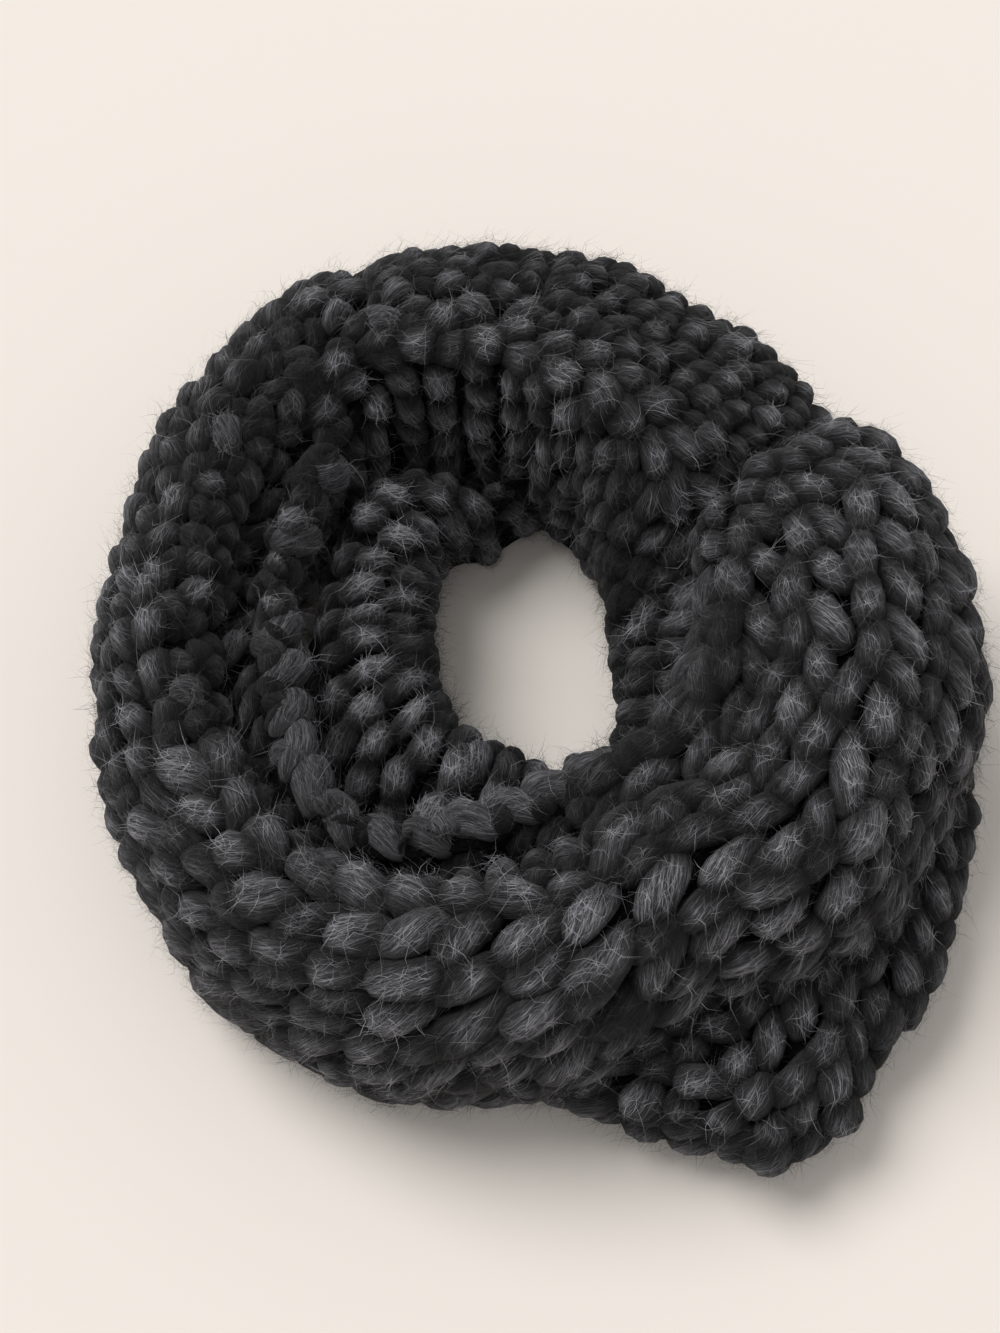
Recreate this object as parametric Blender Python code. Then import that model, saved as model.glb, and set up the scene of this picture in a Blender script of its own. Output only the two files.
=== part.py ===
"""Infinity scarf: a chunky hand-knitted loop, wound twice into a ring and laid down.

Four stretches of the one loop show. Each is a closed solid lofted through upright
sections round the neck hole. A section goes from the wall of the neck hole over the
crown to the outside, and comes back along a flat underside. Metres, +Z up, origin at
the middle of the ring's box, on the surface that it lies on.
"""

import math

import bmesh
import bpy
import numpy as np

# Driving dimensions.
SECTION_SIDES = 36             # points round a section
SECTION_STEP = 7.5             # degrees between sections
SEAM_GAP = 0.0004              # between two stretches that meet end to end
CONTACT_GAP = 0.0008           # between a stretch and the one that lies on it
CUTTER_DEPTH = 0.010           # how far below the surface the cutting tool reaches
FULL_TURN = 360.0
SQUARENESS = 0.86              # 1 is an ellipse; less is squarer
UNDERSIDE_SPREAD = 1.22        # how far the lower half is pressed out flat against the surface
VALLEY_ANGLE = 122.0           # where the rolled band sinks between its crown and its inner edge
VALLEY_SPREAD = 26.0
LAYER_GROOVE_ANGLE = -30.0     # where the outer edges of the two layers meet
LAYER_GROOVE_DEPTH = 0.004
LAYER_GROOVE_SPREAD = 9.0
FOLD_LENGTH = 0.030            # length over which the folded end of a stretch rounds off
END_CLEARANCE = 8.0            # gaps by which the cutting tool runs past a folded end
FOLD_SHARES = (0.35, 0.65, 0.88, 0.98)  # where its shrinking sections stand along that length
BURIED_FROM = -255.0           # past this angle the back wrap can lie beneath the front wrap

# Sections, a row each, clockwise round the ring seen from above. The angle is in degrees
# from +X about the middle of the ring. Then come the radii of the neck hole's wall, the
# crown and the outside; the heights of the wall's fullest point, the crown and the
# outside's fullest point; and the depth of the valley.
COLUMNS = ("angle", "inner", "crown", "outer", "inner_height", "top", "outer_height", "valley")

FRONT_WRAP = (
    (24, 0.068, 0.115, 0.160, 0.080, 0.108, 0.060, 0.000),
    (10, 0.066, 0.115, 0.167, 0.080, 0.111, 0.057, 0.003),
    (-8, 0.062, 0.115, 0.173, 0.080, 0.108, 0.054, 0.006),
    (-25, 0.062, 0.116, 0.172, 0.080, 0.106, 0.050, 0.008),
    (-45, 0.064, 0.118, 0.172, 0.078, 0.103, 0.045, 0.006),
    (-65, 0.066, 0.118, 0.163, 0.075, 0.100, 0.042, 0.007),
    (-80, 0.070, 0.122, 0.167, 0.073, 0.098, 0.040, 0.010),
    (-95, 0.079, 0.130, 0.180, 0.073, 0.096, 0.042, 0.013),
    (-112, 0.096, 0.140, 0.186, 0.072, 0.095, 0.043, 0.015),
    (-130, 0.106, 0.144, 0.184, 0.070, 0.092, 0.044, 0.015),
    (-150, 0.103, 0.141, 0.177, 0.068, 0.091, 0.045, 0.015),
    (-168, 0.096, 0.138, 0.173, 0.067, 0.091, 0.045, 0.015),
    (-180, 0.093, 0.137, 0.172, 0.066, 0.091, 0.045, 0.015),
)

BACK_WRAP = (
    (-180, 0.093, 0.137, 0.172, 0.066, 0.091, 0.045, 0.015),
    (-200, 0.095, 0.138, 0.174, 0.066, 0.092, 0.046, 0.014),
    (-215, 0.100, 0.139, 0.178, 0.067, 0.096, 0.048, 0.011),
    (-235, 0.103, 0.131, 0.184, 0.062, 0.101, 0.050, 0.006),
    (-255, 0.090, 0.116, 0.184, 0.062, 0.104, 0.050, 0.002),
    (-275, 0.070, 0.100, 0.181, 0.060, 0.104, 0.050, 0.000),
    (-293, 0.052, 0.090, 0.172, 0.056, 0.100, 0.048, 0.000),
    (-310, 0.040, 0.090, 0.166, 0.050, 0.091, 0.045, 0.000),
    (-325, 0.034, 0.092, 0.164, 0.042, 0.078, 0.040, 0.000),
    (-338, 0.031, 0.096, 0.156, 0.034, 0.067, 0.034, 0.000),
    (-350, 0.030, 0.098, 0.151, 0.030, 0.062, 0.030, 0.000),
)

UNDER_WRAP = (
    (10, 0.030, 0.098, 0.151, 0.030, 0.062, 0.030, 0.000),
    (-5, 0.030, 0.099, 0.158, 0.030, 0.060, 0.028, 0.000),
    (-20, 0.032, 0.100, 0.180, 0.030, 0.058, 0.027, 0.000),
    (-35, 0.036, 0.105, 0.191, 0.030, 0.056, 0.026, 0.000),
    (-50, 0.040, 0.110, 0.205, 0.030, 0.054, 0.025, 0.000),
    (-60, 0.042, 0.112, 0.218, 0.031, 0.053, 0.024, 0.000),
    (-67, 0.042, 0.112, 0.216, 0.032, 0.053, 0.024, 0.000),
    (-76, 0.042, 0.108, 0.197, 0.033, 0.054, 0.024, 0.000),
    (-87, 0.042, 0.098, 0.176, 0.034, 0.055, 0.025, 0.000),
    (-100, 0.042, 0.085, 0.140, 0.035, 0.056, 0.028, 0.000),
    (-113, 0.043, 0.076, 0.112, 0.036, 0.057, 0.030, 0.000),
    (-125, 0.044, 0.073, 0.102, 0.036, 0.058, 0.032, 0.000),
)

INNER_WRAP = (
    (-125, 0.044, 0.073, 0.102, 0.036, 0.058, 0.032, 0.000),
    (-145, 0.040, 0.068, 0.099, 0.036, 0.064, 0.034, 0.000),
    (-162, 0.037, 0.064, 0.093, 0.036, 0.066, 0.034, 0.000),
    (-180, 0.038, 0.064, 0.091, 0.036, 0.066, 0.034, 0.000),
    (-200, 0.042, 0.067, 0.093, 0.036, 0.066, 0.034, 0.000),
    (-215, 0.048, 0.073, 0.097, 0.036, 0.066, 0.034, 0.000),
    (-230, 0.058, 0.080, 0.101, 0.034, 0.064, 0.034, 0.000),
    (-242, 0.064, 0.082, 0.098, 0.030, 0.058, 0.030, 0.000),
    (-254, 0.064, 0.076, 0.087, 0.026, 0.048, 0.026, 0.000),
)

WOOL = (0.045, 0.045, 0.052, 1.0)
WOOL_ROUGHNESS = 0.95


def named_columns(table):
    """The table's columns as arrays, by name."""
    return {name: np.array(values, float) for name, values in zip(COLUMNS, zip(*table))}


def smooth_value(angles, values, at):
    """A cubic through the rows' values, read at one angle; the rows run clockwise."""
    along = -angles
    slopes = np.gradient(values, along)
    row = int(np.clip(np.searchsorted(along, -at) - 1, 0, len(along) - 2))
    span = along[row + 1] - along[row]
    t = (-at - along[row]) / span
    start = (1 + 2 * t) * (1 - t) ** 2 * values[row] + t * (1 - t) ** 2 * span * slopes[row]
    end = t * t * (3 - 2 * t) * values[row + 1] + t * t * (t - 1) * span * slopes[row + 1]
    return float(start + end)


def row_at(columns, angle):
    """Every size of the section at an angle between the table's rows."""
    return {name: smooth_value(columns["angle"], values, angle) for name, values in columns.items()}


def dent(angle, middle, spread):
    """A smooth bump of height 1 round the section, 0 a spread away from its middle."""
    away = abs((angle - middle + FULL_TURN / 2) % FULL_TURN - FULL_TURN / 2) / spread
    return math.cos(away * math.pi / 2) ** 2 if away < 1 else 0.0


def section_points(size, grow):
    """(radius, height) round one section, from its outside over the crown to its underside."""
    points = []
    sunk = CUTTER_DEPTH if grow else 0.0
    for side in range(SECTION_SIDES):
        angle = side * FULL_TURN / SECTION_SIDES
        across = math.cos(math.radians(angle))
        upward = math.sin(math.radians(angle))
        outside = across > 0
        reach = (size["outer"] if outside else size["inner"]) - size["crown"]
        middle = size["outer_height"] if outside else size["inner_height"]
        reach += math.copysign(grow, reach)
        across = abs(across) ** SQUARENESS
        lift = abs(upward) ** SQUARENESS
        sink = size["valley"] * dent(angle, VALLEY_ANGLE, VALLEY_SPREAD)
        groove = LAYER_GROOVE_DEPTH * dent(angle, LAYER_GROOVE_ANGLE, LAYER_GROOVE_SPREAD)
        radius = size["crown"] + reach * across - groove
        if upward >= 0:
            height = middle + (size["top"] + grow - middle) * lift - sink
        else:
            height = middle - (middle + sunk) * min(1.0, lift * UNDERSIDE_SPREAD)
        points.append((radius, height))
    return points


def section_angles(first, last):
    """Evenly spaced angles from the first section to the last."""
    count = max(2, round(abs(last - first) / SECTION_STEP) + 1)
    return [first + (last - first) * step / (count - 1) for step in range(count)]


def drawn_in(points, middle, share):
    """A section shrunk to a share of its size about its middle."""
    return [
        (middle[0] + (radius - middle[0]) * share, middle[1] + (height - middle[1]) * share)
        for radius, height in points
    ]


def folded(section, size, length, turn):
    """Shrinking sections beyond an end, on a quarter ellipse, for the fold that ends a stretch."""
    angle, points = section
    middle = (size["crown"], (size["inner_height"] + size["outer_height"]) / 2)
    extra = []
    for share in FOLD_SHARES:
        beyond = math.degrees(length * share / size["crown"])
        extra.append((angle + turn * beyond, drawn_in(points, middle, math.sqrt(1 - share * share))))
    return extra


def stretch_sections(
    table, grow=0.0, seam_start=False, seam_end=False, fold_start=False, fold_end=False
):
    """The whole run of a stretch: (angle, points) for each section."""
    columns = named_columns(table)
    first, last = columns["angle"][0], columns["angle"][-1]
    seam_turn = math.degrees(SEAM_GAP / 2 / columns["inner"].min())
    first -= seam_turn if seam_start else 0.0
    last += seam_turn if seam_end else 0.0
    sections = []
    for angle in section_angles(first, last):
        sections.append((angle, section_points(row_at(columns, angle), grow)))
    fold_length = FOLD_LENGTH + END_CLEARANCE * grow
    if fold_start:
        sections = folded(sections[0], row_at(columns, first), fold_length, 1.0)[::-1] + sections
    if fold_end:
        sections = sections + folded(sections[-1], row_at(columns, last), fold_length, -1.0)
    return sections


def loft(name, sections):
    """A closed solid skinned through the sections, with its faces pointing out."""
    form = bmesh.new()
    rings = []
    for angle, points in sections:
        way = (math.cos(math.radians(angle)), math.sin(math.radians(angle)))
        rings.append([
            form.verts.new((way[0] * radius, way[1] * radius, height))
            for radius, height in points
        ])
    for ring, following in zip(rings, rings[1:]):
        for side in range(SECTION_SIDES):
            beside = (side + 1) % SECTION_SIDES
            form.faces.new((ring[side], ring[beside], following[beside], following[side]))
    form.faces.new(rings[0][::-1])
    form.faces.new(rings[-1])
    bmesh.ops.triangulate(form, faces=form.faces[:])
    bmesh.ops.recalc_face_normals(form, faces=form.faces[:])
    mesh = bpy.data.meshes.new(name)
    form.to_mesh(mesh)
    form.free()
    mesh.shade_smooth()
    stretch = bpy.data.objects.new(name, mesh)
    bpy.context.scene.collection.objects.link(stretch)
    return stretch


def wool():
    """Charcoal wool yarn."""
    material = bpy.data.materials.new("charcoal_wool")
    material.use_nodes = True
    shader = material.node_tree.nodes["Principled BSDF"]
    shader.inputs["Base Color"].default_value = WOOL
    shader.inputs["Roughness"].default_value = WOOL_ROUGHNESS
    shader.inputs["Metallic"].default_value = 0.0
    return material


def make_room(stretch, buried_sections):
    """Cuts the turn that lies underneath, slightly enlarged, out of the stretch on top of it."""
    tool = loft("under_" + stretch.name, buried_sections)
    tool.hide_render = True
    tool.display_type = "WIRE"
    cut = stretch.modifiers.new(tool.name, "BOOLEAN")
    cut.operation = "DIFFERENCE"
    cut.object = tool


def centre_on_origin(objects):
    """Moves everything so that the box of the ring is centred over the origin."""
    corners = np.array([tuple(vertex.co) for obj in objects for vertex in obj.data.vertices])
    middle = (corners.min(axis=0) + corners.max(axis=0)) / 2
    for obj in bpy.data.objects:
        for vertex in obj.data.vertices:
            vertex.co.x -= middle[0]
            vertex.co.y -= middle[1]


SEAMS = {"seam_start": True, "seam_end": True}

for leftover in list(bpy.data.objects):
    bpy.data.objects.remove(leftover)

front = loft("front_wrap", stretch_sections(FRONT_WRAP, fold_start=True, seam_end=True))
back = loft("back_wrap", stretch_sections(BACK_WRAP, **SEAMS))
under = loft("under_wrap", stretch_sections(UNDER_WRAP, **SEAMS))
inner = loft("inner_wrap", stretch_sections(INNER_WRAP, seam_start=True, fold_end=True))

lower_back = stretch_sections(BACK_WRAP, CONTACT_GAP, **SEAMS)
buried = [section for section in lower_back if section[0] < BURIED_FROM]
for angle, points in stretch_sections(UNDER_WRAP, CONTACT_GAP, **SEAMS):
    buried.append((angle - FULL_TURN, points))
make_room(front, buried)
make_room(back, stretch_sections(INNER_WRAP, CONTACT_GAP, seam_start=True, fold_end=True))
for stretch in (front, back, under, inner):
    stretch.data.materials.append(wool())
centre_on_origin((front, back, under, inner))
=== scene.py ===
"""The knitted surface of the infinity scarf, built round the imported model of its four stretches."""

import math

import bpy
import numpy as np
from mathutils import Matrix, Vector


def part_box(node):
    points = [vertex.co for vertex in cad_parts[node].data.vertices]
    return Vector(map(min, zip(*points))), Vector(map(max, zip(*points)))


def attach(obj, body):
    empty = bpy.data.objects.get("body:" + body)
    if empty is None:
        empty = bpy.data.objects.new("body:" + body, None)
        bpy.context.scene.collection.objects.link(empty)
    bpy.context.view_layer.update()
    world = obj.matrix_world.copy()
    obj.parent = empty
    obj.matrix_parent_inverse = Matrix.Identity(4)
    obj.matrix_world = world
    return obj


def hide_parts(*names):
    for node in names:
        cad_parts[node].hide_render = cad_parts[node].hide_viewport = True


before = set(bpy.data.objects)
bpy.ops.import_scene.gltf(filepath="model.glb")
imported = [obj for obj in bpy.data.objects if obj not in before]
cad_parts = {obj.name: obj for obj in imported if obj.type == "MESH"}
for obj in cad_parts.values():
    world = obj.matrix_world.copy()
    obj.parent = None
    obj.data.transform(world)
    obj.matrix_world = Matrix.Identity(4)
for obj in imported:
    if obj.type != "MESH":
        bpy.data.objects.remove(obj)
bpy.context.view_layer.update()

# --------------------------------------------------------------------------------------
# The front wrap's cloth: the upper turn from the hump at the right, round the front and up
# the left. It is the ground between the stitches, 3 mm thick, near-black as painted shade for
# the gaps: a tube of upright sections with the sizes of the solid that it stands for, which it
# lies 9 mm inside.
# --------------------------------------------------------------------------------------
# Angle round the ring in degrees, then metres: three radii, three heights, and how deep the
# valley is where the band is rolled in.
COLUMNS = ("angle", "inner", "crown", "outer", "inner_height", "top", "outer_height", "valley")
FRONT_WRAP = (
    (38, 0.100, 0.115, 0.130, 0.072, 0.084, 0.068, 0.000),
    (35, 0.082, 0.115, 0.146, 0.076, 0.095, 0.064, 0.000),
    (30, 0.072, 0.115, 0.156, 0.079, 0.104, 0.061, 0.000),
    (24, 0.068, 0.115, 0.160, 0.080, 0.108, 0.060, 0.000),
    (10, 0.066, 0.115, 0.167, 0.080, 0.111, 0.057, 0.003),
    (-8, 0.062, 0.115, 0.173, 0.080, 0.108, 0.054, 0.006),
    (-25, 0.062, 0.116, 0.172, 0.080, 0.106, 0.050, 0.008),
    (-45, 0.064, 0.118, 0.172, 0.078, 0.103, 0.045, 0.006),
    (-65, 0.066, 0.118, 0.163, 0.075, 0.100, 0.042, 0.007),
    (-80, 0.070, 0.122, 0.167, 0.073, 0.098, 0.040, 0.010),
    (-95, 0.079, 0.130, 0.180, 0.073, 0.096, 0.042, 0.013),
    (-112, 0.096, 0.140, 0.186, 0.072, 0.095, 0.043, 0.015),
    (-130, 0.106, 0.144, 0.184, 0.070, 0.092, 0.044, 0.015),
    (-150, 0.103, 0.141, 0.177, 0.068, 0.091, 0.045, 0.015),
    (-168, 0.096, 0.138, 0.173, 0.067, 0.091, 0.045, 0.015),
    (-180, 0.093, 0.137, 0.172, 0.066, 0.091, 0.045, 0.015),
)
LEFT_OUTSIDE = 0.172        # the front wrap's outer radius where it reaches furthest left
SQUARENESS = 0.86           # 1 is a round section, and less is a fuller one
UNDERSIDE_SPREAD = 1.22     # over 1, the section is flat underneath
VALLEY_ANGLE = 122.0        # where the valley is, in degrees round the section
VALLEY_SPREAD = 26.0        # and how far it reaches to each side
SLOW_LUMPS = 0.0022
QUICK_LUMPS = 0.0013
CLOTH_DEPTH = 0.0090        # how far the ground lies inside the solid
CLOTH_THICKNESS = 0.003
CLOTH_RING_STEP = 3.0       # degrees round the ring between the cloth's sections
CLOTH_SIDE_STEP = 7.5       # degrees round a section between its points
FLOOR_GAP = 0.0004          # the lowest that wool lies above the floor
# The ground's two tones: near-black as painted shade for the gaps between the stitches, with the
# wool's own fleck between them.
GROUND_SHADE_DARK = (0.001, 0.001, 0.0013, 1)
GROUND_SHADE_PALE = (0.005, 0.005, 0.006, 1)
ring_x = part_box("front_wrap")[0].x + LEFT_OUTSIDE
ring_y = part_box("back_wrap")[0].y


def through_rows(table, angle):
    """Every size of the section at each angle, on a cubic through the table's rows."""
    rows = np.array(table, float)
    along = -rows[:, 0]
    at = np.clip(-np.asarray(angle, float), along[0], along[-1])
    row = np.clip(np.searchsorted(along, at) - 1, 0, len(along) - 2)
    span = along[row + 1] - along[row]
    t = (at - along[row]) / span
    sizes = {}
    for name, values in zip(COLUMNS, rows.T):
        slope = np.gradient(values, along)
        start = (1 + 2 * t) * (1 - t) ** 2 * values[row] + t * (1 - t) ** 2 * span * slope[row]
        end = t * t * (3 - 2 * t) * values[row + 1] + t * t * (t - 1) * span * slope[row + 1]
        sizes[name] = start + end
    return sizes


def lumps(x, y, z):
    """The slow unevenness of a rolled hand-knitted band, in metres."""
    slow = np.sin(61 * x + 23 * y + 1.3) * np.sin(47 * y - 31 * x + 0.4)
    quick = np.sin(118 * x - 40 * y + 95 * z) * np.sin(109 * y + 52 * x - 80 * z + 2.0)
    return SLOW_LUMPS * slow + QUICK_LUMPS * quick


def surface(table, angle, round_angle):
    """Points of a wrap's surface at an angle round the ring and an angle round its section.

    Round the section, 0 is straight outwards, 90 the top and 180 straight towards the hole.
    """
    angle, round_angle = np.broadcast_arrays(angle, round_angle)
    size = through_rows(table, angle)
    cosine = np.cos(np.radians(round_angle))
    sine = np.sin(np.radians(round_angle))
    outside = cosine > 0
    reach = np.where(outside, size["outer"], size["inner"]) - size["crown"]
    middle = np.where(outside, size["outer_height"], size["inner_height"])
    away = np.abs((round_angle - VALLEY_ANGLE + 180.0) % 360.0 - 180.0) / VALLEY_SPREAD
    sink = size["valley"] * np.where(away < 1, np.cos(np.minimum(away, 1) * math.pi / 2) ** 2, 0)
    radius = size["crown"] + reach * np.abs(cosine) ** SQUARENESS
    lift = np.abs(sine) ** SQUARENESS
    above = middle + (size["top"] - middle) * lift - sink
    below = middle - middle * np.minimum(1.0, lift * UNDERSIDE_SPREAD)
    height = np.where(sine >= 0, above, below)
    turn = np.radians(angle)
    swell = lumps(radius * np.cos(turn), radius * np.sin(turn), height)
    radius = radius + cosine * swell
    height = np.maximum(height + sine * swell, FLOOR_GAP)
    x, y = ring_x + radius * np.cos(turn), ring_y + radius * np.sin(turn)
    return np.stack([x, y, height], axis=-1)


def normals(table, angle, round_angle, angle_step, round_step):
    """The outward direction of a wrap's surface, from points a step to each side."""
    by_angle = (surface(table, angle - angle_step, round_angle)
                - surface(table, angle + angle_step, round_angle))
    by_around = (surface(table, angle, round_angle + round_step)
                 - surface(table, angle, round_angle - round_step))
    normal = np.cross(by_around, by_angle)
    return normal / np.linalg.norm(normal, axis=-1, keepdims=True)


def mesh_piece(name, points, faces, material):
    """A smooth mesh object from points and faces, with its material."""
    mesh = bpy.data.meshes.new(name)
    mesh.from_pydata(points.reshape(-1, 3).tolist(), [], faces)
    mesh.shade_smooth()
    mesh.materials.append(material)
    piece = bpy.data.objects.new(name, mesh)
    bpy.context.scene.collection.objects.link(piece)
    return piece


def ground_wool_painted_shade():
    """Charcoal wool seen between the stitches, near-black as painted shade for the gaps, with no
    sheen.
    """
    material = bpy.data.materials.new("ground_wool_painted_shade")
    material.use_nodes = True
    nodes, links = material.node_tree.nodes, material.node_tree.links
    shader = nodes["Principled BSDF"]
    place = nodes.new("ShaderNodeTexCoord")
    fleck = nodes.new("ShaderNodeTexNoise")
    fleck.inputs["Scale"].default_value = 420
    fleck.inputs["Detail"].default_value = 4
    tone = nodes.new("ShaderNodeValToRGB")
    tone.color_ramp.elements[0].position = 0.35
    tone.color_ramp.elements[0].color = GROUND_SHADE_DARK
    tone.color_ramp.elements[1].position = 0.7
    tone.color_ramp.elements[1].color = GROUND_SHADE_PALE
    bump = nodes.new("ShaderNodeBump")
    bump.inputs["Distance"].default_value = 0.001
    links.new(place.outputs["Object"], fleck.inputs["Vector"])
    links.new(fleck.outputs["Fac"], tone.inputs["Fac"])
    links.new(tone.outputs["Color"], shader.inputs["Base Color"])
    links.new(fleck.outputs["Fac"], bump.inputs["Height"])
    links.new(bump.outputs["Normal"], shader.inputs["Normal"])
    shader.inputs["Roughness"].default_value = 0.95
    shader.inputs["Specular IOR Level"].default_value = 0.1
    return material


def tube_cloth(name, table):
    """The ground cloth of a wrap: a tube of sections from the table's first row to its last."""
    first, last = table[0][0], table[-1][0]
    angles = np.append(np.arange(first, last, -CLOTH_RING_STEP), last)
    around = np.arange(0, 360, CLOTH_SIDE_STEP)
    sides = len(around)
    angle, turned = angles[:, None], around[None, :]
    # Stitches cover the cloth all over but underneath, where it keeps to the solid's surface.
    covered = np.clip(np.sin(np.radians(turned)) * 2 + 1.7, 0.05, 1)[..., None]
    inwards = normals(table, angle, turned, 1, 5) * CLOTH_DEPTH * covered
    points = surface(table, angle, turned) - inwards
    points[..., 2] = np.maximum(points[..., 2], FLOOR_GAP)
    ring, side = np.meshgrid(np.arange(len(angles) - 1), np.arange(sides), indexing="ij")
    following = (side + 1) % sides
    faces = np.stack([
        ring * sides + following, (ring + 1) * sides + following,
        (ring + 1) * sides + side, ring * sides + side,
    ], axis=-1).reshape(-1, 4)
    piece = mesh_piece(name, points, faces.tolist(), ground)
    wall = piece.modifiers.new("wall", "SOLIDIFY")
    wall.thickness = CLOTH_THICKNESS
    wall.offset = -1
    bpy.ops.object.select_all(action="DESELECT")
    bpy.context.view_layer.objects.active = piece
    piece.select_set(True)
    bpy.ops.object.modifier_apply(modifier="wall")
    return piece


ground = ground_wool_painted_shade()
front_cloth = tube_cloth("front_cloth", FRONT_WRAP)

# --------------------------------------------------------------------------------------
# The front wrap's stitches: jumbo single-ply wool yarn, hand-knitted. Each plump leg is a
# ball drawn out along the yarn, bent to the cloth, its tail tucked under the leg behind it.
# Columns of them follow the band, and the rolled edge is a cord of big twisted loops.
# --------------------------------------------------------------------------------------
OUTER_FOOT = -57.0          # round-section angles where the cloth meets what it rests on
INNER_FOOT = 230.0
TURN_STEP = 3.0             # degrees round the ring between measured sections
SHARE_STEPS = 140           # places measured over each section
LEG_END = 0.85              # the share of half a leg's length where its bend is measured
LEG_VALUES = ("angle", "share", "heading", "length", "width", "sink", "dip", "tilt", "bend")
ROW_UNEVENNESS = 0.08       # how far a leg strays along its lane, in pitches
TWIST = 0.35                # how far a fibre winds round the yarn for each length along it
LUMPINESS = 0.09            # how uneven a leg's thickness is
FLATNESS = 0.94             # how high a leg is for its width
YARN_DARK = (0.004, 0.004, 0.0048, 1)
YARN_MIDDLE = (0.026, 0.0258, 0.0290, 1)
YARN_PALE = (0.190, 0.189, 0.204, 1)
HAIR_COLOUR = (0.170, 0.170, 0.184, 1)
HAIR_TURNS = (-20, 7, 26)   # degrees off the yarn's direction
FIBRE_COLOUR = (0.140, 0.140, 0.152, 1)
# How open each point is to the light, which the materials paint into the colour as shade.
NEIGHBOURS = 9              # legs round each one that can hide it from the light
OPEN_GAP = 0.0075           # a point this far from every other leg lies in the open
SHADE_POWER = 2.5           # how fast a narrower gap gets darker
LIFTED = 0.0045             # a leg that sinks less than this stands clear of the others
LIFTED_OPENNESS = 0.6       # and is never darker than this
# Stray fibres: most lie along the yarn, and the wild ones are longer and lift off it.
WILD_SHARE = 0.30
WILD_LENGTHS, LYING_LENGTHS = (0.008, 0.018), (0.004, 0.010)
WILD_LIFTS, LYING_LIFTS = (0.2, 0.6), (0.0, 0.14)
FIBRE_WIDTHS = (0.00008, 0.00014)
FIBRE_STATIONS = 4
random = np.random.default_rng(835)
bpy.ops.object.select_all(action="DESELECT")
bpy.ops.mesh.primitive_uv_sphere_add(segments=12, ring_count=9, radius=1)
ball = bpy.context.object
ball_points = np.array([tuple(vertex.co) for vertex in ball.data.vertices])
# Sorted, because the faces of a new sphere come in another order on each run.
ball_faces = sorted(tuple(face.vertices) for face in ball.data.polygons)
bpy.data.objects.remove(ball)
leg_along = np.round(ball_points[:, 2], 5)
leg_around = np.arctan2(ball_points[:, 1], ball_points[:, 0])


def with_painted_shade(nodes, links, colour):
    """The colour with painted shade: darker where the wool lies deep between the stitches."""
    openness = nodes.new("ShaderNodeAttribute")
    openness.attribute_name = "open"
    shade = nodes.new("ShaderNodeMapRange")
    shade.inputs["To Min"].default_value = 0.02
    shade.inputs["To Max"].default_value = 2.4
    product = nodes.new("ShaderNodeMix")
    product.data_type = "RGBA"
    product.blend_type = "MULTIPLY"
    product.inputs["Factor"].default_value = 1.0
    links.new(openness.outputs["Fac"], shade.inputs["Value"])
    links.new(colour, product.inputs["A"])
    links.new(shade.outputs["Result"], product.inputs["B"])
    return product.outputs["Result"]


def stray_hairs(nodes, links, yarn, turn, colour):
    """The colour with pale hairs over it: level lines of a drawn-out noise, turned in degrees."""
    slant = nodes.new("ShaderNodeMapping")
    slant.inputs["Rotation"].default_value = (0, 0, math.radians(turn))
    stretch = nodes.new("ShaderNodeMapping")
    stretch.inputs["Scale"].default_value = (70, 420, 1)
    stretch.inputs["Location"].default_value = (turn, 0, 0)
    noise = nodes.new("ShaderNodeTexNoise")
    noise.inputs["Scale"].default_value = 1.0
    noise.inputs["Detail"].default_value = 1.0
    level = nodes.new("ShaderNodeMath")
    level.operation = "SUBTRACT"
    level.inputs[1].default_value = 0.5
    either = nodes.new("ShaderNodeMath")
    either.operation = "ABSOLUTE"
    hair = nodes.new("ShaderNodeMapRange")
    hair.inputs["From Max"].default_value = 0.010
    hair.inputs["To Min"].default_value = 0.45
    hair.inputs["To Max"].default_value = 0.0
    mix = nodes.new("ShaderNodeMix")
    mix.data_type = "RGBA"
    mix.inputs["B"].default_value = HAIR_COLOUR
    links.new(yarn, slant.inputs["Vector"])
    links.new(slant.outputs["Vector"], stretch.inputs["Vector"])
    links.new(stretch.outputs["Vector"], noise.inputs["Vector"])
    links.new(noise.outputs["Fac"], level.inputs[0])
    links.new(level.outputs["Value"], either.inputs[0])
    links.new(either.outputs["Value"], hair.inputs["Value"])
    links.new(hair.outputs["Result"], mix.inputs["Factor"])
    links.new(colour, mix.inputs["A"])
    return mix.outputs["Result"]


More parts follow.
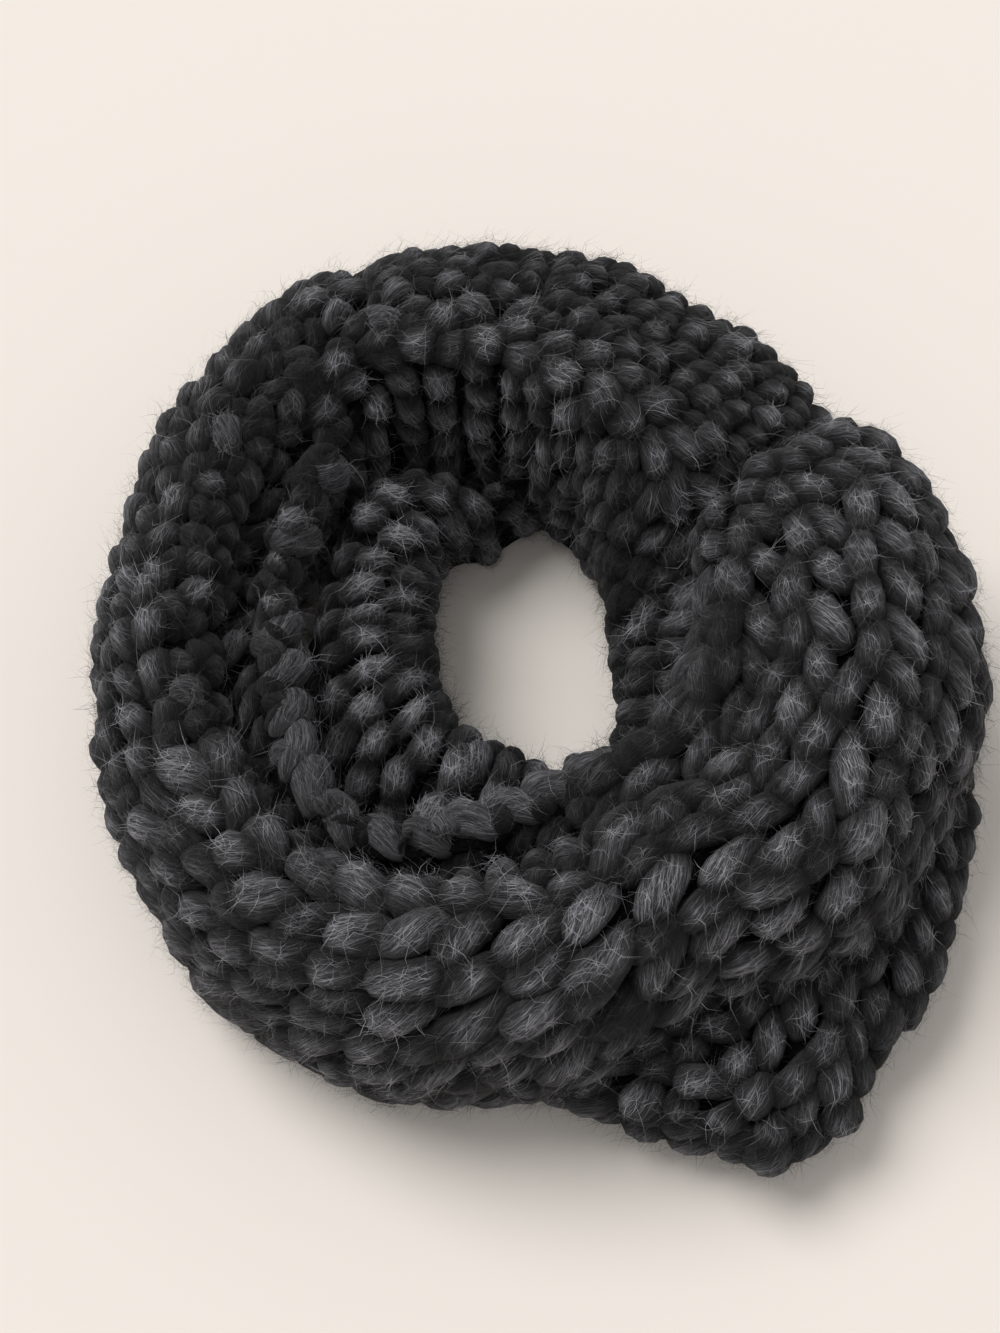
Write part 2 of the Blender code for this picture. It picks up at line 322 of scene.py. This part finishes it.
def wool_yarn():
    """Heathered charcoal roving: pale and dark fibres run along the yarn with a slight twist."""
    material = bpy.data.materials.new("wool_yarn")
    material.use_nodes = True
    nodes, links = material.node_tree.nodes, material.node_tree.links
    shader = nodes["Principled BSDF"]
    yarn = nodes.new("ShaderNodeUVMap")
    yarn.uv_map = "yarn"
    noises = []
    for scale, detail in (((120, 2600, 1), 5), ((40, 600, 1), 3)):
        stretch = nodes.new("ShaderNodeMapping")
        stretch.inputs["Scale"].default_value = scale
        noise = nodes.new("ShaderNodeTexNoise")
        noise.inputs["Scale"].default_value = 1.0
        noise.inputs["Detail"].default_value = detail
        noise.inputs["Roughness"].default_value = 0.62
        links.new(yarn.outputs["UV"], stretch.inputs["Vector"])
        links.new(stretch.outputs["Vector"], noise.inputs["Vector"])
        noises.append(noise)
    both = nodes.new("ShaderNodeMix")
    both.data_type = "FLOAT"
    both.inputs["Factor"].default_value = 0.3
    tone = nodes.new("ShaderNodeValToRGB")
    tone.color_ramp.elements[0].position = 0.38
    tone.color_ramp.elements[0].color = YARN_DARK
    tone.color_ramp.elements[1].position = 0.64
    tone.color_ramp.elements[1].color = YARN_PALE
    middle = tone.color_ramp.elements.new(0.5)
    middle.color = YARN_MIDDLE
    bump = nodes.new("ShaderNodeBump")
    bump.inputs["Distance"].default_value = 0.0026
    bump.inputs["Strength"].default_value = 1.0
    links.new(noises[0].outputs["Fac"], both.inputs["A"])
    links.new(noises[1].outputs["Fac"], both.inputs["B"])
    links.new(both.outputs["Result"], tone.inputs["Fac"])
    colour = tone.outputs["Color"]
    for turn in HAIR_TURNS:
        colour = stray_hairs(nodes, links, yarn.outputs["UV"], turn, colour)
    # Painted shade: the yarn's colour darkens where it lies deep between the stitches.
    links.new(with_painted_shade(nodes, links, colour), shader.inputs["Base Color"])
    links.new(both.outputs["Result"], bump.inputs["Height"])
    links.new(bump.outputs["Normal"], shader.inputs["Normal"])
    shader.inputs["Roughness"].default_value = 0.85
    shader.inputs["Specular IOR Level"].default_value = 0.2
    shader.inputs["Sheen Weight"].default_value = 0.10
    shader.inputs["Sheen Roughness"].default_value = 0.45
    shader.inputs["Sheen Tint"].default_value = (0.75, 0.76, 0.80, 1)
    return material


def loose_fibre():
    """A single stray wool fibre: paler than the yarn, because light passes through it."""
    material = bpy.data.materials.new("loose_fibre")
    material.use_nodes = True
    nodes, links = material.node_tree.nodes, material.node_tree.links
    shader = nodes["Principled BSDF"]
    pale = nodes.new("ShaderNodeRGB")
    pale.outputs["Color"].default_value = FIBRE_COLOUR
    # Painted shade: the fibre darkens with the leg that it grows from.
    links.new(with_painted_shade(nodes, links, pale.outputs["Color"]), shader.inputs["Base Color"])
    shader.inputs["Roughness"].default_value = 0.6
    shader.inputs["Specular IOR Level"].default_value = 0.3
    return material


def lane(stitches, angles, shares, pitch, phase=0.0):
    """Places along a path over a wrap, given by its angles and shares, a pitch apart."""
    angles = np.asarray(angles, float)
    shares = np.broadcast_to(shares, angles.shape)
    pitch = np.broadcast_to(pitch, angles.shape)
    points = surface(stitches.table, angles, stitches.around(angles, shares))
    steps = np.linalg.norm(np.diff(points, axis=0), axis=1)
    way = np.concatenate([[0], np.cumsum(steps / (pitch[1:] + pitch[:-1]) * 2)])
    at = np.arange(phase, way[-1], 1.0)
    at = at + random.normal(0, ROW_UNEVENNESS, len(at))
    return np.interp(at, way, angles), np.interp(at, way, shares)


def leg_sizes(table, angle):
    """Pitch, length, width and slant of the legs at an angle round the ring."""
    rows = np.array(table, float)[::-1].T
    return [np.interp(angle, rows[0], column) for column in rows[1:]]


def through_three(values, along):
    """A smooth bend along each leg through its values near its tail, at its middle and near
    its front end."""
    start, middle, end = values[:, None, 0], values[:, None, 1], values[:, None, 2]
    t = (along / LEG_END)[None, :, None]
    return middle + (end - start) / 2 * t + ((end + start) / 2 - middle) * t ** 2


class Stitches:
    """Collects the legs of one wrap: where each lies, how it is turned, and its size."""

    def __init__(self, table):
        self.table = table
        self.rows = []
        self.turns = np.arange(table[-1][0] - 9.0, table[0][0] + 9.0, TURN_STEP)
        around = np.linspace(OUTER_FOOT, INNER_FOOT, SHARE_STEPS + 1)
        points = surface(table, self.turns[:, None], around[None, :])
        steps = np.linalg.norm(np.diff(points, axis=1), axis=2)
        way = np.pad(np.cumsum(steps, axis=1), ((0, 0), (1, 0)))
        self.widths = way[:, -1]
        self.evenly = np.stack([
            np.interp(np.linspace(0, row[-1], SHARE_STEPS + 1), row, around) for row in way
        ])

    def around(self, angle, share):
        """The round-section angle a share of the way over the wrap, from its outer foot."""
        row = np.clip((angle - self.turns[0]) / TURN_STEP, 0, len(self.turns) - 1.001)
        column = np.clip(share * SHARE_STEPS, 0, SHARE_STEPS - 0.001)
        top, left = row.astype(int), column.astype(int)
        down, right = row - top, column - left
        near = self.evenly[top, left] * (1 - right) + self.evenly[top, left + 1] * right
        far = self.evenly[top + 1, left] * (1 - right) + self.evenly[top + 1, left + 1] * right
        return near * (1 - down) + far * down

    def add(self, places, heading, length, width, sink=0.0055, dip=0.0042, tilt=0.0030,
            bend=0.06, loose=1.2):
        """Adds a leg at each place. Heading 0 follows the band clockwise, and 90 crosses it
        towards the hole. Sink is how deep the leg's middle lies, dip how much deeper its two
        ends do, and tilt how much its front end rises above its tail."""
        angle, share = places
        count = len(angle)
        # In the order of LEG_VALUES, each a little uneven, as hand-knitting is.
        self.rows.append(np.column_stack([
            angle + random.normal(0, 0.35 * loose, count),
            share + random.normal(0, 0.0035 * loose, count),
            heading + random.normal(0, 6 * loose, count),
            length * random.uniform(0.94, 1.14, count),
            width * random.uniform(0.9, 1.12, count),
            sink + random.normal(0, 0.0006 * loose, count),
            np.full(count, dip),
            np.full(count, tilt),
            bend * np.where(random.random(count) < 0.7, 1, -1),
        ]))

    def bodies(self):
        """The legs' values, and at each of the ball's stations their middle lines, directions
        and fullness."""
        legs = dict(zip(LEG_VALUES, np.concatenate(self.rows).T))
        angle, share, length = legs["angle"], legs["share"], legs["length"]
        heading = np.radians(legs["heading"])
        along = np.unique(leg_along)
        around = self.around(angle, share)
        here = surface(self.table, angle, around)
        turned = np.linalg.norm(surface(self.table, angle + 0.5, around) - here, axis=-1) / 0.5
        wide = np.interp(angle, self.turns, self.widths)
        ends = np.array([-LEG_END, 0.0, LEG_END])
        away = ends * (length / 2)[:, None]
        aside = legs["bend"][:, None] * length[:, None] * (1 - ends ** 2)
        forth = np.cos(heading)[:, None] * away - np.sin(heading)[:, None] * aside
        inwards = np.sin(heading)[:, None] * away + np.cos(heading)[:, None] * aside
        angles = angle[:, None] - forth / turned[:, None]
        arounds = self.around(angles, share[:, None] + inwards / wide[:, None])
        points = surface(self.table, angles, arounds)
        normal = normals(self.table, angles, arounds, 1, 4)
        # A leg is stiffer than the cloth, so it turns less than the cloth does from end to end.
        normal = normal * 0.45 + normal.mean(axis=1, keepdims=True) * 0.55
        points, normal = through_three(points, along), through_three(normal, along)
        forward = np.gradient(points, axis=1)
        forward /= np.linalg.norm(forward, axis=-1, keepdims=True)
        sideways = np.cross(normal, forward)
        sideways /= np.linalg.norm(sideways, axis=-1, keepdims=True)
        normal = np.cross(forward, sideways)
        sink, dip, tilt = (legs[name][:, None] for name in ("sink", "dip", "tilt"))
        drop = sink + dip * np.abs(along) ** 2.2 - tilt * along
        middle = points - normal * drop[..., None]
        # Plump along most of its length, a little more so to the front, and pointed at its ends.
        fullness = (1 - np.abs(along) ** 3.2) ** 0.55 * (1 + 0.12 * along)
        return legs, along, middle, forward, sideways, normal, fullness

    def openness(self, points, leg, bodies):
        """How open to the light each leg's points are: 0 against another leg and 1 clear of all."""
        legs, _, middle, _, _, normal, fullness = bodies
        widest = legs["width"][:, None] / 2 * fullness
        centre = middle.mean(axis=1)
        apart = np.linalg.norm(centre[:, None] - centre[None], axis=-1)
        near = np.argsort(apart, axis=1)[:, 1:NEIGHBOURS + 1]
        up = normal[leg, normal.shape[1] // 2][:, None]
        gap = np.full(points.shape[:2], OPEN_GAP)
        for other in near[leg].T:
            for station in range(middle.shape[1]):
                away = points - middle[other, station][:, None]
                # A neighbour that lies below a point hides it less.
                above = np.maximum(np.maximum((away * up).sum(axis=-1), away[..., 2]), 0) * 0.2
                clear = np.linalg.norm(away, axis=-1) + above - widest[other, station][:, None]
                gap = np.minimum(gap, clear)
        lifted = np.clip((LIFTED - legs["sink"][leg]) / 0.002, 0, 1)[:, None]
        open_to = np.clip(gap / OPEN_GAP, 0, 1) ** SHADE_POWER
        return np.maximum(open_to, LIFTED_OPENNESS * lifted)

    def build(self, name, material):
        """One mesh of all the legs, with a UV map in metres along and round the yarn."""
        bodies = self.bodies()
        legs, along, middle, forward, sideways, normal, fullness = bodies
        station = np.searchsorted(along, leg_along)
        half = legs["width"][:, None] / 2
        count = len(half)
        turns = 2 * leg_around + random.uniform(0, 2 * math.pi, (count, 1))
        waves = 3.5 * leg_along + random.uniform(0, 2 * math.pi, (count, 1))
        swell = 1 + LUMPINESS * np.sin(turns) * np.sin(waves)
        across = half * fullness[station] * swell * np.cos(leg_around)
        upward = half * fullness[station] * swell * np.sin(leg_around) * FLATNESS
        body = middle[:, station] + sideways[:, station] * across[..., None]
        body += normal[:, station] * upward[..., None]
        body[..., 2] = np.maximum(body[..., 2], FLOOR_GAP)
        size = body.shape[1]
        faces = [
            tuple(corner + leg * size for corner in face)
            for leg in range(count) for face in ball_faces
        ]
        piece = mesh_piece(name, body, faces, material)
        u = leg_along * legs["length"][:, None] / 2 + random.uniform(0, 50, (count, 1))
        v = ((leg_around + math.pi / 2) % (2 * math.pi)) * half + TWIST * u
        write_uv(piece, np.stack([u, v], axis=-1).reshape(-1, 2))
        write_open(piece, self.openness(body, np.arange(count), bodies))
        return piece

    def fuzz(self, name, material, count):
        """Stray fibres over the legs: narrow ribbons that lie along the yarn and lift off it."""
        bodies = self.bodies()
        legs, along, middle, forward, sideways, normal, fullness = bodies
        # Where each fibre grows: a leg, a station along it and a side of it, mostly on top.
        leg_length = legs["length"]
        leg = random.choice(len(leg_length), count, p=leg_length / leg_length.sum())
        station = random.integers(2, len(along) - 2, count)
        side = np.radians(random.normal(90, 32, count).clip(10, 170))
        half = legs["width"][leg] / 2 * fullness[station]
        f, s, n = forward[leg, station], sideways[leg, station], normal[leg, station]
        out = s * np.cos(side)[:, None] + n * np.sin(side)[:, None]
        start = middle[leg, station] + out * half[:, None] * 1.03
        # Which way it flows, how long it is, and how it lifts and curls.
        turn = np.radians(random.normal(14, 50, count))[:, None]
        flow = f * np.cos(turn) + np.cross(out, f) * np.sin(turn)
        bend_way = np.cross(out, flow)
        wild = random.random(count) < WILD_SHARE
        wild_length = random.uniform(*WILD_LENGTHS, count)
        length = np.where(wild, wild_length, random.uniform(*LYING_LENGTHS, count))
        wild_lift = random.uniform(*WILD_LIFTS, count)
        lift = np.where(wild, wild_lift, random.uniform(*LYING_LIFTS, count))
        curl = random.normal(0, 1.4, count)
        # Its middle line, bent to the leg that it lies on, and a narrow ribbon along that.
        share = np.linspace(-0.5, 0.5, FIBRE_STATIONS)[None, :, None]
        size = length[:, None, None]
        arc = (share + 0.5) ** 2 * lift[:, None, None] + 0.0004 / size
        hump = -(share ** 2) * size * size / (half[:, None, None] * 6)
        points = start[:, None] + flow[:, None] * share * size + out[:, None] * (arc * size + hump)
        points = points + bend_way[:, None] * curl[:, None, None] * (share ** 2) * size
        width = random.uniform(*FIBRE_WIDTHS, count)[:, None, None]
        taper = 1 - 0.8 * np.abs(share * 2) ** 3
        edge = bend_way[:, None] * width * taper / 2
        ribbon = np.stack([points - edge, points + edge], axis=2)
        ribbon[..., 2] = np.maximum(ribbon[..., 2], FLOOR_GAP)
        corners = 2 * FIBRE_STATIONS
        # Each fibre takes the painted shade of the leg point that it grows from.
        open_to = np.repeat(self.openness(start[:, None], leg, bodies) ** 1.1, corners, axis=1)
        first = np.arange(count)[:, None] * corners + np.arange(FIBRE_STATIONS - 1)[None, :] * 2
        faces = np.stack([first, first + 1, first + 3, first + 2], axis=-1).reshape(-1, 4)
        piece = mesh_piece(name, ribbon, faces.tolist(), material)
        write_open(piece, open_to)
        return piece


def write_open(piece, values):
    """Stores how open each point is to the light, from 0 deep between stitches to 1 on top, for the
    painted shade.
    """
    openness = piece.data.attributes.new("open", "FLOAT", "POINT")
    openness.data.foreach_set("value", values.ravel())


def write_uv(piece, uv):
    """Stores each point's place along and round the yarn, in metres, at its faces' corners."""
    layer = piece.data.uv_layers.new(name="yarn")
    corners = np.empty(len(piece.data.loops), np.int32)
    piece.data.loops.foreach_get("vertex_index", corners)
    layer.data.foreach_set("uv", uv[corners].ravel())


def columns(stitches, legs, first, last, share_from, share_to, count, alternate, pair=0.0, **shape):
    """Columns of legs along the band, from one angle round the ring to another, between two
    shares of the way over it. The legs lean by turns to one side and the other, by alternate
    degrees, and pair brings each two columns nearer."""
    angles = np.linspace(first, last, 50)
    pitch = leg_sizes(legs, angles)[0]
    for column in range(count):
        nearer = pair if column % 2 == 0 else -pair
        share = share_from + (share_to - share_from) * (column + 0.5 + nearer) / count
        # Each pair of columns starts at another place, so that their legs don't line up.
        phase = (0.44 * (column // 2) + random.uniform(0, 0.35)) % 1
        angle, shares = lane(stitches, angles, share, pitch, phase)
        _, length, width, slant = leg_sizes(legs, angle)
        tip = alternate if column % 2 else -alternate
        stitches.add((angle, shares), slant + tip, length, width, **shape)


def finish_stretch(node, cloth, stitches, fuzz):
    """A stretch's pieces hang from the scarf's root, and its CAD node is hidden, with the cloth in
    its place.
    """
    for piece in (cloth, stitches, fuzz):
        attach(piece, "root")
    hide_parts(node)


yarn = wool_yarn()
fibre = loose_fibre()
front = Stitches(FRONT_WRAP)
# Angle round the ring, pitch, length, width, and slant off the band's own direction.
FRONT_LEGS = (
    (36, 0.0190, 0.0305, 0.0132, -22),
    (0, 0.0195, 0.0330, 0.0136, -18),
    (-40, 0.0200, 0.0340, 0.0139, -8),
    (-70, 0.0220, 0.0340, 0.0143, -16),
    (-100, 0.0235, 0.0360, 0.0148, -26),
    (-130, 0.0210, 0.0320, 0.0144, -20),
    (-150, 0.0175, 0.0260, 0.0130, -6),
    (-182, 0.0162, 0.0238, 0.0124, 0),
)
# Columns of V's over the outside: down the right, round the front, and up the left.
columns(front, FRONT_LEGS, 36, -78, 0.015, 0.51, 10, 16, pair=0.08)
columns(front, FRONT_LEGS, -78, -150, 0.015, 0.42, 8, 5)
columns(front, FRONT_LEGS, -150, -181, 0.015, 0.46, 8, 19, pair=0.08)
# The same over the crown, down the right.
columns(front, FRONT_LEGS, 34, -76, 0.51, 0.71, 5, 14, pair=0.09)
# A braid of big legs along the front's crown.
BRAID_LEGS = (
    (-76, 0.0200, 0.0290, 0.0155, -8),
    (-130, 0.0195, 0.0280, 0.0155, -4),
    (-182, 0.0170, 0.0230, 0.0140, 0),
)
columns(front, BRAID_LEGS, -80, -152, 0.425, 0.535, 2, 30, sink=0.0046)
# The purl side, which shows in the valley.
PURL_BUMPS = (
    (40, 0.0122, 0.0165, 0.0120, 0),
    (-350, 0.0122, 0.0165, 0.0120, 0),
)
columns(front, PURL_BUMPS, -78, -152, 0.535, 0.685, 4, 50, loose=2.2, tilt=0)
columns(front, PURL_BUMPS, -152, -181, 0.46, 0.685, 6, 40, loose=1.8, tilt=0)
# The band's rolled edge, a cord of loops, and the columns down the wall inside it.
CORD_LOOPS = (
    (40, 0.0170, 0.0245, 0.0142, 48),
    (-74, 0.0165, 0.0265, 0.0150, 31),
    (-130, 0.0160, 0.0255, 0.0150, 32),
    (-181, 0.0160, 0.0228, 0.0140, 40),
)
columns(front, CORD_LOOPS, -74, -181, 0.665, 0.735, 1, 0, sink=0.0015, bend=0.02)
columns(front, CORD_LOOPS, 32, -74, 0.70, 0.77, 1, 0, sink=0.0040)
columns(front, FRONT_LEGS, 32, -181, 0.745, 0.99, 4, 15)
front_stitches = front.build("front_stitches", yarn)
front_fuzz = front.fuzz("front_fuzz", fibre, 32000)
finish_stretch("front_wrap", front_cloth, front_stitches, front_fuzz)

# --------------------------------------------------------------------------------------
# The back wrap: the upper turn over the back, of the same yarn and cloth. The reverse of the
# knitting shows over it as small bumps, dark with their own shadow and with painted shade
# where they lie packed, and the right side faces the neck hole as columns that run down its wall.
# --------------------------------------------------------------------------------------
BACK_WRAP = (
    (-180, 0.093, 0.137, 0.172, 0.066, 0.091, 0.045, 0.015),
    (-200, 0.095, 0.138, 0.174, 0.066, 0.092, 0.046, 0.014),
    (-215, 0.100, 0.139, 0.178, 0.067, 0.096, 0.048, 0.011),
    (-235, 0.103, 0.131, 0.184, 0.062, 0.101, 0.050, 0.006),
    (-255, 0.090, 0.116, 0.184, 0.062, 0.104, 0.050, 0.002),
    (-275, 0.070, 0.100, 0.181, 0.060, 0.104, 0.050, 0.000),
    (-293, 0.052, 0.090, 0.172, 0.056, 0.100, 0.048, 0.000),
    (-310, 0.040, 0.090, 0.166, 0.050, 0.091, 0.045, 0.000),
    (-325, 0.034, 0.092, 0.164, 0.042, 0.078, 0.040, 0.000),
    (-338, 0.031, 0.096, 0.156, 0.034, 0.067, 0.034, 0.000),
    (-350, 0.030, 0.098, 0.151, 0.030, 0.062, 0.030, 0.000),
)
back_cloth = tube_cloth("back_cloth", BACK_WRAP)
back = Stitches(BACK_WRAP)
SIDE_LEGS = (
    (-179, 0.0152, 0.0212, 0.0126, 0),
    (-205, 0.0156, 0.0225, 0.0146, 0),
    (-350, 0.0160, 0.0230, 0.0148, 0),
)
# From the front wrap on: columns of V's outside, purl in the valley, and the edge's cord.
columns(back, SIDE_LEGS, -179, -264, 0.015, 0.47, 8, 19, pair=0.04)
columns(back, PURL_BUMPS, -179, -228, 0.46, 0.685, 6, 40, loose=1.8, tilt=0)
columns(back, CORD_LOOPS, -179, -226, 0.665, 0.735, 1, 0, sink=0.0035)
# The purl side over the back.
columns(back, PURL_BUMPS, -228, -262, 0.46, 0.56, 2, 30, loose=2.5, tilt=0)
columns(back, PURL_BUMPS, -262, -347, 0.015, 0.55, 13, 12, loose=1.5, tilt=0.001)
# Big legs along the crest above the wall.
HILL_LEGS = (
    (-222, 0.0150, 0.0200, 0.0145, 0),
    (-275, 0.0155, 0.0220, 0.0148, 10),
    (-330, 0.0210, 0.0300, 0.0140, 8),
)
CREST_START = -224          # up to here the cord lies above the wall, and past it the crest does
columns(back, HILL_LEGS, CREST_START, -326, 0.545, 0.63, 2, 20)
# Columns down the wall of the neck hole, from under the cord or the crest.
WALL_STEP = 7.4             # degrees round the ring from column to column
for column, angle in enumerate(np.arange(-182, -349, -WALL_STEP)):
    top = 0.64 if angle < CREST_START else 0.75
    lean = 14 if column % 2 else -14
    places = lane(back, np.full(20, angle), np.linspace(top, 0.99, 20), 0.0170, 0.5 * (column % 2))
    back.add(places, 90 + lean, 0.0220, 0.0118)
back_stitches = back.build("back_stitches", yarn)
back_fuzz = back.fuzz("back_fuzz", fibre, 27000)
finish_stretch("back_wrap", back_cloth, back_stitches, back_fuzz)

# --------------------------------------------------------------------------------------
# The under wrap: the lower turn beneath the right side, of the same yarn and cloth, pressed
# flat by the turn on it. Its folded corner sticks out at the front right, and its other edge
# shows in the neck hole.
# --------------------------------------------------------------------------------------
UNDER_WRAP = (
    (10, 0.030, 0.098, 0.151, 0.030, 0.062, 0.030, 0.000),
    (-5, 0.030, 0.099, 0.158, 0.030, 0.060, 0.028, 0.000),
    (-20, 0.032, 0.100, 0.180, 0.030, 0.058, 0.027, 0.000),
    (-35, 0.036, 0.105, 0.191, 0.030, 0.056, 0.026, 0.000),
    (-50, 0.040, 0.110, 0.205, 0.030, 0.054, 0.025, 0.000),
    (-60, 0.042, 0.112, 0.218, 0.031, 0.053, 0.024, 0.000),
    (-67, 0.042, 0.112, 0.216, 0.032, 0.053, 0.024, 0.000),
    (-76, 0.042, 0.108, 0.197, 0.033, 0.054, 0.024, 0.000),
    (-87, 0.042, 0.098, 0.176, 0.034, 0.055, 0.025, 0.000),
    (-100, 0.042, 0.085, 0.140, 0.035, 0.056, 0.028, 0.000),
    (-113, 0.043, 0.076, 0.112, 0.036, 0.057, 0.030, 0.000),
    (-125, 0.044, 0.073, 0.102, 0.036, 0.058, 0.032, 0.000),
)
under_cloth = tube_cloth("under_cloth", UNDER_WRAP)
under = Stitches(UNDER_WRAP)
# Columns of V's over the corner and under the right side.
UNDER_COLUMNS = 12
for column in range(UNDER_COLUMNS):
    share = 0.02 + 0.53 * column / (UNDER_COLUMNS - 1)
    places = lane(under, np.linspace(0, -98, 40), share, 0.0170, 0.2 * column)
    under.add(places, -40 if column % 2 else -5, 0.0245, 0.0130)
# Cords down the edge of the neck hole.
EDGE_STEP = 13.5            # degrees round the ring from cord to cord
for column, angle in enumerate(np.arange(6, -124, -EDGE_STEP)):
    shares = np.linspace(0.56, 0.99, 20)
    places = lane(under, np.full(20, angle), shares, 0.0185, 0.4 * (column % 2))
    under.add(places, 90, 0.0290, 0.0120)
under_stitches = under.build("under_stitches", yarn)
under_fuzz = under.fuzz("under_fuzz", fibre, 12000)
finish_stretch("under_wrap", under_cloth, under_stitches, under_fuzz)

# --------------------------------------------------------------------------------------
# The inner wrap: the lower turn inside the ring, up the left of the neck hole, of the same
# yarn and cloth. It is rolled tight, so its courses show as cords that run over it from side
# to side.
# --------------------------------------------------------------------------------------
INNER_WRAP = (
    (-125, 0.044, 0.073, 0.102, 0.036, 0.058, 0.032, 0.000),
    (-145, 0.040, 0.068, 0.099, 0.036, 0.064, 0.034, 0.000),
    (-162, 0.037, 0.064, 0.093, 0.036, 0.066, 0.034, 0.000),
    (-180, 0.038, 0.064, 0.091, 0.036, 0.066, 0.034, 0.000),
    (-200, 0.042, 0.067, 0.093, 0.036, 0.066, 0.034, 0.000),
    (-215, 0.048, 0.073, 0.097, 0.036, 0.066, 0.034, 0.000),
    (-230, 0.058, 0.080, 0.101, 0.034, 0.064, 0.034, 0.000),
    (-242, 0.064, 0.082, 0.098, 0.030, 0.058, 0.030, 0.000),
    (-254, 0.064, 0.076, 0.087, 0.026, 0.048, 0.026, 0.000),
    (-262, 0.070, 0.080, 0.090, 0.024, 0.043, 0.024, 0.000),
    (-272, 0.078, 0.088, 0.098, 0.022, 0.038, 0.022, 0.000),
)
inner_cloth = tube_cloth("inner_cloth", INNER_WRAP)
inner = Stitches(INNER_WRAP)
COURSE_STEP = 10.8          # degrees round the ring from cord to cord
COURSE_SLANT = 8            # degrees that a cord's ends lie to each side of its middle
for angle in np.arange(-120, -268, -COURSE_STEP):
    angles = angle + np.linspace(COURSE_SLANT, -COURSE_SLANT, 20)
    places = lane(inner, angles, np.linspace(0.02, 0.99, 20), 0.0205, random.random())
    inner.add(places, 78, 0.0275, 0.0120, dip=0.0028, tilt=0.0014)
inner_stitches = inner.build("inner_stitches", yarn)
inner_fuzz = inner.fuzz("inner_fuzz", fibre, 10000)
finish_stretch("inner_wrap", inner_cloth, inner_stitches, inner_fuzz)

# --------------------------------------------------------------------------------------
# What the scarf lies on, and how it is seen: a plain pale floor, a soft window light from the
# upper left, pale light from all round, and a view from the front and well above.
# --------------------------------------------------------------------------------------
bpy.ops.mesh.primitive_plane_add(size=6)
floor = bpy.context.object
floor.name = "floor"
pale = bpy.data.materials.new("pale_surface")
pale.use_nodes = True
pale_shader = pale.node_tree.nodes["Principled BSDF"]
pale_shader.inputs["Base Color"].default_value = (0.85, 0.80, 0.75, 1)
pale_shader.inputs["Roughness"].default_value = 0.9
floor.data.materials.append(pale)

window = bpy.data.lights.new("window", "SUN")
window.energy = 2.1
window.angle = math.radians(36)
window.color = (1.0, 0.985, 0.965)
window_holder = bpy.data.objects.new("window", window)
window_holder.rotation_euler = (math.radians(-18), math.radians(-30), 0)
bpy.context.scene.collection.objects.link(window_holder)
world = bpy.data.worlds.new("studio")
world.use_nodes = True
background = world.node_tree.nodes["Background"]
background.inputs["Color"].default_value = (1.0, 0.98, 0.96, 1)
background.inputs["Strength"].default_value = 0.52
bpy.context.scene.world = world
bpy.context.scene.view_settings.view_transform = "Standard"

VIEW_ELEVATION = math.radians(62)
VIEW_HEIGHT_ANGLE = math.radians(36)    # how much the view takes in from top to bottom
VIEW_DISTANCE = 0.82
VIEW_ASIDE = 0.0145                     # the view's middle is this far left of the ring's
VIEW_TARGET_HEIGHT = 0.03
target = np.array([ring_x - VIEW_ASIDE, ring_y, VIEW_TARGET_HEIGHT])
back_way = np.array([0, -math.cos(VIEW_ELEVATION), math.sin(VIEW_ELEVATION)])
lens = bpy.data.cameras.new("view")
lens.sensor_fit = "VERTICAL"
lens.sensor_height = 24
lens.lens = lens.sensor_height / 2 / math.tan(VIEW_HEIGHT_ANGLE / 2)
camera = bpy.data.objects.new("view", lens)
bpy.context.scene.collection.objects.link(camera)
camera.location = target + back_way * VIEW_DISTANCE
camera.rotation_euler = (math.pi / 2 - VIEW_ELEVATION, 0, 0)
bpy.context.scene.camera = camera
